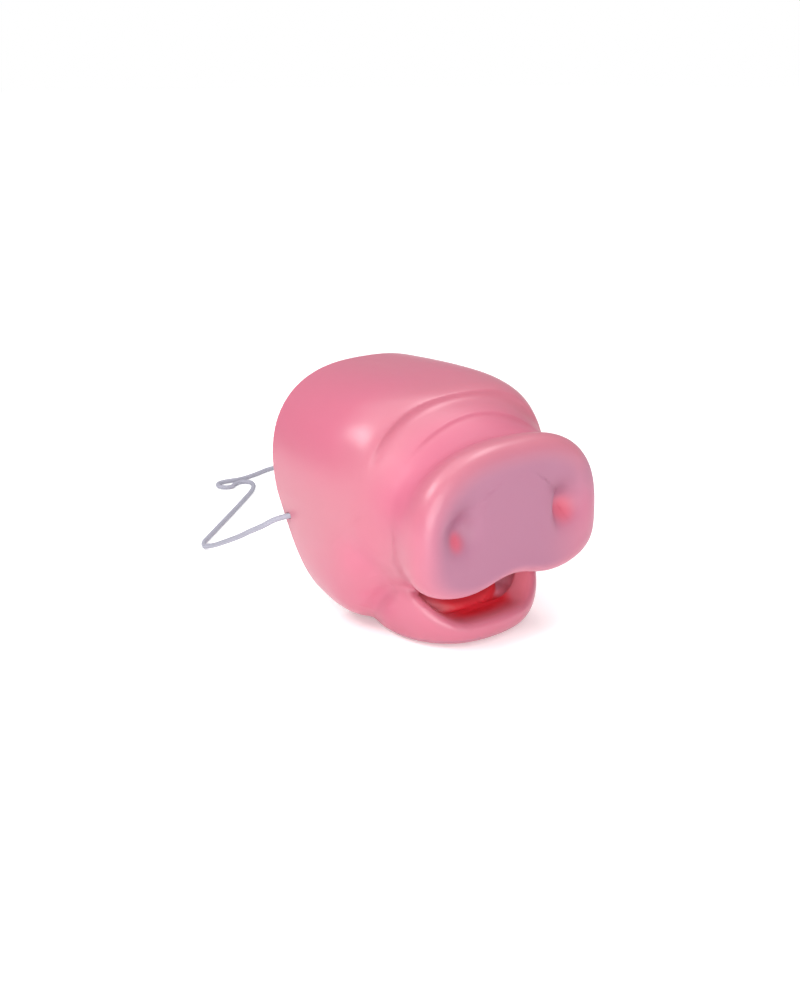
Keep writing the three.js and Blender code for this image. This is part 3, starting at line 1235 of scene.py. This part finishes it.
    def _bare_groove_painted_light(self, points: np.ndarray) -> np.ndarray:
        """The groove between the tongue and the wall of the mouth, left without red and painted much paler
        than the vinyl as painted light.

        Args:
            points: The shell's points.

        Returns:
            The mask.
        """
        past_tongue = self.groove_start.up(self._from_tongue(points))
        before_lip = self.groove_end.down(self.mouth.plan.spread(points, *self.groove_reach))
        level = self.above_sole.up(points[:, 2]) * self.groove_top.down(points[:, 2])
        left = self.groove_side.up(points[:, 0])
        right = self.groove_right_share * self.groove_side.up(-points[:, 0])
        return past_tongue * before_lip * level * (left + right)


@dataclass
class SnoutShell:
    """The moulded vinyl muzzle, hollow from behind."""

    muzzle: Muzzle = field(default_factory=Muzzle)
    jaw: Jaw = field(default_factory=Jaw)
    mouth: Mouth = field(default_factory=Mouth)
    hole: CordHole = field(default_factory=CordHole)
    finish: VinylFinish = field(default_factory=VinylFinish)
    wall: float = 0.002
    skin: float = 0.00072
    skin_rounds: int = 12
    mouth_rounds: int = 6
    inner_skin: float = 0.0015
    inner_rounds: int = 4
    weld: float = 0.00004
    hole_radius: float = 0.0013
    bit_sides: int = 24
    bit_length: float = 0.010
    sharp: float = 55.0
    strokes: tuple = (
        Stroke(
            ((-0.0335, -0.0205, 0.0580), (-0.0375, -0.0237, 0.0450), (-0.0368, -0.0222, 0.0330),
             (-0.0330, -0.0170, 0.0230)),
            reach=0.0050, height=-0.0003),
        Stroke(
            ((-0.0382, -0.0240, 0.0440), (-0.0376, -0.0232, 0.0380), (-0.0358, -0.0205, 0.0310)),
            reach=0.0013, height=-0.0003),
        Stroke(
            ((-0.0419, -0.0089, 0.0453), (-0.0392, -0.0144, 0.0377), (-0.0356, -0.0192, 0.0293)),
            reach=0.0050, height=0.0008),
        Stroke(
            ((-0.0420, -0.0040, 0.0390), (-0.0395, -0.0095, 0.0320), (-0.0365, -0.0130, 0.0255)),
            reach=0.0055, height=-0.0010),
        Stroke(
            ((-0.0315, -0.0165, 0.0205), (-0.0325, -0.0118, 0.0165), (-0.0330, -0.0080, 0.0125),
             (-0.0338, -0.0045, 0.0085)),
            reach=0.0030, height=-0.0014),
    )

    def build(self) -> bpy.types.Object:
        """Models the shell and gives it its paint, its painted shade and light, and its finish.

        Returns:
            The finished piece.
        """
        shell = self._solid()
        self._sculpt(shell)
        self._hollow_out(shell)
        self._paint(shell)
        shell.name = "vinyl_snout"
        shell.data.materials.clear()
        shell.data.materials.append(self.finish.build())
        pick(shell)
        bpy.ops.object.shade_smooth_by_angle(angle=math.radians(self.sharp))
        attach(shell, BODY)
        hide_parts("snout_shell")
        return shell

    def _solid(self) -> bpy.types.Object:
        """Joins the muzzle and the jaw, and opens the mouth.

        Returns:
            The solid outside of the shell, with an even skin.
        """
        solid = loft("muzzle", self.muzzle.rings())
        combine(solid, self.jaw.build(), Join.ADD)
        remesh(solid, self.skin, self.skin_rounds)
        combine(solid, self.mouth.build(), Join.CUT, Solver.EXACT)
        combine(solid, self.mouth.build_tongue(), Join.ADD, Solver.EXACT)
        remesh(solid, self.skin, self.mouth_rounds)
        return solid

    def _sculpt(self, shell: bpy.types.Object) -> None:
        """Presses the nostrils and draws the strokes and the wrinkles into the skin.

        Args:
            shell: The solid outside of the shell.
        """
        points = self.muzzle.press_nostrils(points_of(shell))
        move_points(shell, points)
        normals = normals_of(shell)
        lift = np.zeros(len(points))
        for stroke in self.strokes:
            lift += stroke.lift(points) + stroke.lift(points * MIRROR)
        for fold in self.muzzle.wrinkles:
            lift += fold.lift(points, self.muzzle.behind(0.0))
        move_points(shell, points + normals * lift[:, None])

    def _hollow_out(self, shell: bpy.types.Object) -> None:
        """Cuts the hollow, the two cord holes and the rim, and cleans up after the cuts.

        Args:
            shell: The solid outside of the shell.
        """
        combine(shell, self._hollow(), Join.CUT, Solver.EXACT)
        for side in Side:
            combine(shell, self._drill(side), Join.CUT, Solver.EXACT)
        point, outward = self.muzzle.rim_plane()
        pick(shell)
        bpy.ops.object.mode_set(mode="EDIT")
        bpy.ops.mesh.select_all(action="SELECT")
        bpy.ops.mesh.bisect(plane_co=point, plane_no=outward, use_fill=True, clear_outer=True)
        bpy.ops.mesh.select_all(action="SELECT")
        bpy.ops.mesh.remove_doubles(threshold=self.weld)
        bpy.ops.mesh.quads_convert_to_tris()
        bpy.ops.object.mode_set(mode="OBJECT")
        drop_flaps(shell)

    def _hollow(self) -> bpy.types.Object:
        """The muzzle's inside, a wall's thickness in from its skin, with the mouth left standing in it.

        Returns:
            The hollow's solid.
        """
        hollow = loft("hollow", self.muzzle.rings())
        remesh(hollow, self.inner_skin)
        modify(hollow, "DISPLACE", strength=-self.wall, mid_level=0.0)
        remesh(hollow, self.inner_skin, self.inner_rounds)
        inset = np.array([0.0, self.wall, 0.0])
        move_points(hollow, self.muzzle.press_nostrils(points_of(hollow) - inset))
        move_points(hollow, points_of(hollow) + inset)
        combine(hollow, self.mouth.build(self.wall), Join.CUT)
        return hollow

    def _drill(self, side: Side) -> bpy.types.Object:
        """A round bit for a cord hole.

        Args:
            side: The side that is drilled.

        Returns:
            The bit's solid.
        """
        aim = self.hole.direction(side)
        bpy.ops.object.select_all(action="DESELECT")
        bpy.ops.mesh.primitive_cylinder_add(
            vertices=self.bit_sides, radius=self.hole_radius, depth=self.bit_length,
            location=self.hole.point(side), rotation=aim.to_track_quat("Z", "Y").to_euler())
        return bpy.context.object

    def _paint(self, shell: bpy.types.Object) -> None:
        """Lays the spray coats, the painted shade and the painted light on the shell, as masks of its
        points.

        Args:
            shell: The finished mesh.
        """
        paint_and_light = SprayAndPaintedLight(self.muzzle, self.jaw, self.mouth)
        for name, mask in paint_and_light.masks(points_of(shell), normals_of(shell)).items():
            layer = shell.data.attributes.new(name, "FLOAT", "POINT")
            layer.data.foreach_set("value", np.clip(mask, 0.0, 1.0).astype(np.float32))


@dataclass
class ElasticCord:
    """The thin elastic, from the right cheek down to the floor, round and up to the left cheek."""

    hole: CordHole = field(default_factory=CordHole)
    finish: ElasticFinish = field(default_factory=ElasticFinish)
    diameter: float = 0.002
    length: float = 0.415
    straight: float = 0.005
    wall: float = 0.002
    gap: float = 0.0003
    knot_radius: float = 0.0026
    floor_line: float = 0.00105
    spacing: float = 0.0005
    right_drop: tuple = (
        (-0.0504, 0.033, 0.033), (-0.0484, 0.045, 0.027), (-0.0454, 0.057, 0.021),
        (-0.0423, 0.069, 0.0153), (-0.0396, 0.080, 0.0102), (-0.0374, 0.090, 0.0056),
        (-0.0363, 0.0965, 0.0029), (-0.0362, 0.1014, 0.0013),
    )
    floor_run: tuple = (
        (-0.0342, 0.1056), (-0.029, 0.1104), (0.0058, 0.141), (0.0174, 0.152), (0.021, 0.1575),
        (0.0216, 0.1614), (0.0186, 0.1642), (0.0146, 0.1631), (0.0118, 0.161), (0.0086, 0.1619),
        (0.0072, 0.165), (0.0088, 0.1682), (0.0124, 0.1692), (0.0202, 0.168), (0.029, 0.1696),
        (0.040, 0.173), (0.052, 0.1726), (0.060, 0.161), (0.058, 0.142), (0.046, 0.114),
    )
    left_rise: tuple = (
        (0.0404, 0.103, 0.0013), (0.0386, 0.095, 0.0036), (0.0396, 0.081, 0.0098),
        (0.0423, 0.069, 0.0153), (0.0454, 0.057, 0.021), (0.0504, 0.033, 0.033),
    )

    @property
    def tucked(self) -> float:
        """How far the cord reaches inside the cheek, up to its knot."""
        slant = self.hole.direction(Side.LEFT).x
        return (self.wall + self.gap + self.knot_radius) / slant - self.gap - self.knot_radius

    def end(self, side: Side) -> list[Vector]:
        """The straight end through a cheek, from inside to outside.

        Args:
            side: The cheek.

        Returns:
            Its points.
        """
        point, aim = self.hole.point(side), self.hole.direction(side)
        return [point - aim * self.tucked, point, point + aim * self.straight]

    def knot_centre(self, side: Side) -> Vector:
        """The middle of the knot inside a cheek."""
        inside = self.tucked + self.gap + self.knot_radius
        return self.hole.point(side) - self.hole.direction(side) * inside

    def route(self) -> np.ndarray:
        """The points that the cord passes through.

        Returns:
            One row of x, y and z for each point.
        """
        floor = [(x, y, self.floor_line) for x, y in self.floor_run]
        ends = [self.end(Side.RIGHT), self.end(Side.LEFT)[::-1]]
        points = [*ends[0], *self.right_drop, *floor, *self.left_rise, *ends[1]]
        return np.array([tuple(point) for point in points])

    def centreline(self) -> np.ndarray:
        """The cord's smooth line, with points a fraction of a diameter apart.

        Returns:
            One row of x, y and z for each point.
        """
        points = self.route()
        padded = np.concatenate([[2 * points[0] - points[1]], points, [2 * points[-1] - points[-2]]])
        drawn = []
        for number in range(len(points) - 1):
            four = padded[number:number + 4]
            strides = np.linalg.norm(np.diff(four, axis=0), axis=1) ** 0.5
            knots = np.concatenate([[0.0], np.cumsum(strides)])
            count = max(2, int(round(np.linalg.norm(four[2] - four[1]) / self.spacing)))
            for t in knots[1] + (knots[2] - knots[1]) * np.arange(count) / count:
                drawn.append(self._between(four, knots, t))
        drawn.append(points[-1])
        return np.array(drawn)

    def _between(self, four: np.ndarray, knots: np.ndarray, t: float) -> np.ndarray:
        """A point of a centripetal curve between the middle two of four points.

        Args:
            four: The four points.
            knots: The curve's parameter at each.
            t: The parameter of the point.

        Returns:
            The point.
        """
        level = list(four)
        for degree in (1, 2, 3):
            level = self._blend(level, knots, t, degree)
        return level[0]

    def _blend(self, level: list, knots: np.ndarray, t: float, degree: int) -> list:
        """One round of blending neighbouring points.

        Args:
            level: The points of the round before.
            knots: The curve's parameter at each of the four points.
            t: The parameter of the wanted point.
            degree: The number of the round.

        Returns:
            One point fewer.
        """
        blended = []
        for i in range(len(level) - 1):
            low, high = {1: (i, i + 1), 2: (i, i + 2), 3: (1, 2)}[degree]
            share = (t - knots[low]) / (knots[high] - knots[low])
            blended.append(level[i] * (1.0 - share) + level[i + 1] * share)
        return blended

    def build(self) -> bpy.types.Object:
        """Models the cord as a tube along its line and dresses it.

        Returns:
            The finished piece.
        """
        line = self.centreline()
        cord = tube("white_elastic", line, self.diameter / 2)
        cord.data.materials.append(self.finish.build(self.length))
        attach(cord, BODY)
        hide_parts("elastic_cord")
        return cord


def tube(
    name: str, line: np.ndarray, radius: float, closed: bool = False, roundness: int = 4
) -> bpy.types.Object:
    """Makes a round tube along a line, with a map that runs along and around it.

    Args:
        name: The new object's name.
        line: The points of its middle line.
        radius: The tube's radius.
        closed: Whether its ends meet.
        roundness: How finely its outline is divided.

    Returns:
        The tube, as a mesh.
    """
    curve = bpy.data.curves.new(name, "CURVE")
    curve.dimensions = "3D"
    curve.bevel_depth = radius
    curve.bevel_resolution = roundness
    curve.use_fill_caps = not closed
    spline = curve.splines.new("POLY")
    spline.points.add(len(line) - 1)
    spline.points.foreach_set("co", np.column_stack([line, np.ones(len(line))]).ravel())
    spline.use_cyclic_u = closed
    made = bpy.data.objects.new(name, curve)
    bpy.context.scene.collection.objects.link(made)
    pick(made)
    bpy.ops.object.convert(target="MESH")
    made = bpy.context.object
    made.data.name = name
    bpy.ops.object.shade_smooth()
    return made


@dataclass
class CordKnot:
    """The overhand knot that stops the cord inside a cheek."""

    side: Side
    cord: ElasticCord
    strand: float = 0.0009
    tightness: float = 0.00062
    height: float = 1.3
    turns: int = 96

    def build(self, material: bpy.types.Material) -> bpy.types.Object:
        """Models the knot and dresses it.

        Args:
            material: The elastic's material.

        Returns:
            The finished piece.
        """
        aim = self.cord.hole.direction(self.side)
        turn = np.arange(self.turns) * 2 * np.pi / self.turns
        across = np.sin(turn) + 2 * np.sin(2 * turn)
        along = np.cos(turn) - 2 * np.cos(2 * turn)
        loop = np.stack([across, along, -self.height * np.sin(3 * turn)], axis=1) * self.tightness
        spin = np.array(aim.to_track_quat("Z", "Y").to_matrix())
        centre = np.array(self.cord.knot_centre(self.side))
        knot = tube(f"elastic_knot_{self.side.label}", loop @ spin.T + centre, self.strand, closed=True)
        knot.data.materials.append(material)
        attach(knot, BODY)
        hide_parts(f"cord_knot_{self.side.label}")
        return knot


@dataclass(frozen=True)
class Softbox:
    """A soft lamp: its name, the way to it from the muzzle, how far off it is, its size and its watts."""

    name: str
    way: tuple
    reach: float
    size: tuple
    power: float

    def build(self, target: tuple) -> bpy.types.Object:
        """Hangs the lamp so that it faces the muzzle.

        Args:
            target: The place that it faces.

        Returns:
            The lamp.
        """
        data = bpy.data.lights.new(self.name, "AREA")
        data.shape = "RECTANGLE"
        data.size, data.size_y = self.size
        data.energy = self.power
        lamp = bpy.data.objects.new(self.name, data)
        towards = Vector(self.way).normalized()
        lamp.location = Vector(target) + towards * self.reach
        lamp.rotation_euler = towards.to_track_quat("Z", "Y").to_euler()
        bpy.context.scene.collection.objects.link(lamp)
        return lamp


@dataclass
class Studio:
    """The camera, the pale floor and the soft lights."""

    azimuth: float = -38.0
    elevation: float = 19.0
    distance: float = 0.400
    anchor: tuple = (0.0, -0.042, 0.043)
    anchor_pixel: tuple = (518.5, 527.0)
    image: tuple = (800.0, 997.0)
    focal_pixels: float = 1240.0
    sensor: float = 36.0
    clip: tuple = (0.01, 100.0)
    floor_half: float = 12.0
    floor_colour: tuple = (0.93, 0.93, 0.93, 1.0)
    floor_roughness: float = 0.8
    floor_glow: float = 0.26
    sky: float = 0.42
    sky_colour: tuple = (1.0, 1.0, 1.0, 1.0)
    overhead: float = 1.3
    overhead_spread: float = 70.0
    lit: tuple = (0.0, 0.0, 0.045)
    softboxes: tuple = (
        Softbox("top_softbox", (0.43, -0.17, 0.90), 0.80, (0.40, 0.24), 1.5),
        Softbox("key_softbox", (-0.66, 0.10, 0.74), 0.75, (0.46, 0.26), 3.0),
        Softbox("front_softbox", (-0.50, -0.82, 0.20), 0.90, (0.80, 0.60), 5.0),
        Softbox("low_card", (-0.40, -0.91, 0.02), 0.40, (0.24, 0.07), 0.22),
    )

    def build_camera(self) -> bpy.types.Object:
        """Places the camera as the photograph was taken.

        Returns:
            The camera.
        """
        a, e = math.radians(self.azimuth), math.radians(self.elevation)
        back = Vector((math.sin(a) * math.cos(e), -math.cos(a) * math.cos(e), math.sin(e)))
        right = Vector((math.cos(a), math.sin(a), 0.0))
        up = back.cross(right)
        aside = (self.anchor_pixel[0] - self.image[0] / 2) / self.focal_pixels * self.distance
        below = (self.anchor_pixel[1] - self.image[1] / 2) / self.focal_pixels * self.distance
        data = bpy.data.cameras.new("camera")
        data.sensor_width = self.sensor
        data.lens = self.sensor * self.focal_pixels / max(self.image)
        data.clip_start, data.clip_end = self.clip
        camera = bpy.data.objects.new("camera", data)
        camera.location = Vector(self.anchor) + back * self.distance - right * aside + up * below
        camera.rotation_euler = (-back).to_track_quat("-Z", "Y").to_euler()
        bpy.context.scene.collection.objects.link(camera)
        bpy.context.scene.camera = camera
        return camera

    def build_floor(self) -> bpy.types.Object:
        """Lays the floor.

        Returns:
            The floor.
        """
        bpy.ops.object.select_all(action="DESELECT")
        bpy.ops.mesh.primitive_plane_add(size=2 * self.floor_half, location=(0.0, 0.0, 0.0))
        floor = bpy.context.object
        floor.name = "pale_floor"
        material = bpy.data.materials.new("pale_floor")
        material.use_nodes = True
        shader = material.node_tree.nodes["Principled BSDF"]
        shader.inputs["Base Color"].default_value = self.floor_colour
        shader.inputs["Roughness"].default_value = self.floor_roughness
        shader.inputs["Specular IOR Level"].default_value = 0.0
        shader.inputs["Emission Color"].default_value = self.floor_colour
        shader.inputs["Emission Strength"].default_value = self.floor_glow
        floor.data.materials.append(material)
        return floor

    def build_lights(self) -> None:
        """Sets the white surround and the soft lamps."""
        scene = bpy.context.scene
        scene.view_settings.view_transform = "Standard"
        world = bpy.data.worlds.new("white_surround")
        world.use_nodes = True
        tree = world.node_tree
        background = tree.nodes["Background"]
        background.inputs["Color"].default_value = self.sky_colour
        seen = node(tree, "ShaderNodeLightPath").outputs["Is Camera Ray"]
        tree.links.new(scaled(tree, seen, self.sky, 1.0), background.inputs["Strength"])
        scene.world = world
        data = bpy.data.lights.new("overhead", "SUN")
        data.energy = self.overhead
        data.angle = math.radians(self.overhead_spread)
        scene.collection.objects.link(bpy.data.objects.new("overhead", data))
        for softbox in self.softboxes:
            softbox.build(self.lit)


def report(piece: bpy.types.Object) -> None:
    """Logs a finished piece and its number of faces."""
    LOG.info("%s: %d faces", piece.name, len(piece.data.polygons))


def main() -> None:
    logging.basicConfig(level=logging.INFO, format="%(name)s %(message)s")
    studio = Studio()
    studio.build_camera()
    route = ElasticCord()
    cord = route.build()
    report(cord)
    knots = [CordKnot(side, route).build(cord.data.materials[0]) for side in Side]
    for knot in knots:
        report(knot)
    route.hole.point(Side.RIGHT)
    route.centreline()
    report(SnoutShell().build())
    studio.build_floor()
    studio.build_lights()


if __name__ == "__main__":
    main()
